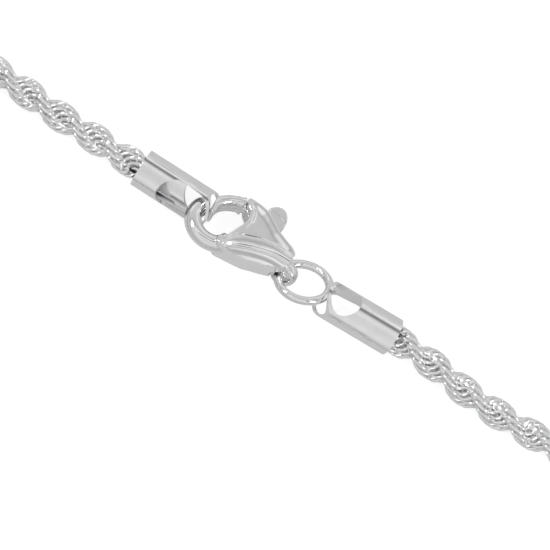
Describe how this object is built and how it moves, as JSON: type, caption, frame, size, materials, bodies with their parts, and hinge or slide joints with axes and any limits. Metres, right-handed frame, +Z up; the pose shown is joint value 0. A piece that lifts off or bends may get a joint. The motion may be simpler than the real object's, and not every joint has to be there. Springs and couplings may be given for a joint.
{
  "type": "chain_necklace",
  "caption": "Polished white metal rope chain necklace closed with a lobster clasp, lying on a table with its spare length coiled beside the clasp",
  "frame": {"origin": "on the table under the middle of the clasp, jump ring and end caps, chain left out", "axes": "+X along the closed end of the necklace from the clasp side towards the jump ring side as it lies on the table, +Y to the left of that, +Z up from the table"},
  "size_m": [0.0818, 0.0454, 0.005],
  "materials": {
    "polished": "polished",
    "rope": "polished",
    "spring_steel": "satin",
    "solder": "satin"
  },
  "bodies": {
    "necklace": {"end_cap_left": "polished", "end_cap_right": "polished", "solder_left": "solder", "solder_right": "solder", "chain_left": "rope", "chain_coil": "rope", "chain_right": "rope"},
    "ring": {"jump_ring": "polished"},
    "clasp": {"clasp_body": "polished", "pivot_pin": "polished", "lever_spring": "spring_steel"},
    "lever": {"clasp_lever": "polished"}
  },
  "joints": [
    {"name": "ring_turn", "type": "hinge", "parent": "necklace", "child": "ring", "pos_m": [0.003, -0.00238, 0.00278], "axis": [0.2048, 0.7144, 0.6691], "continuous": true},
    {"name": "clasp_roll", "type": "hinge", "parent": "necklace", "child": "clasp", "pos_m": [-0.00505, 0.0026, 0.0028], "axis": [0.8407, -0.5368, -0.0711], "range_deg": [0, 5]},
    {"name": "lever_press", "type": "hinge", "parent": "clasp", "child": "lever", "pos_m": [-0.00057, 0.00164, 0.00212], "axis": [0.2892, 0.4937, 0.8201], "range_deg": [0, 15], "stiffness_Nm_per_rad": 0.004}
  ]
}
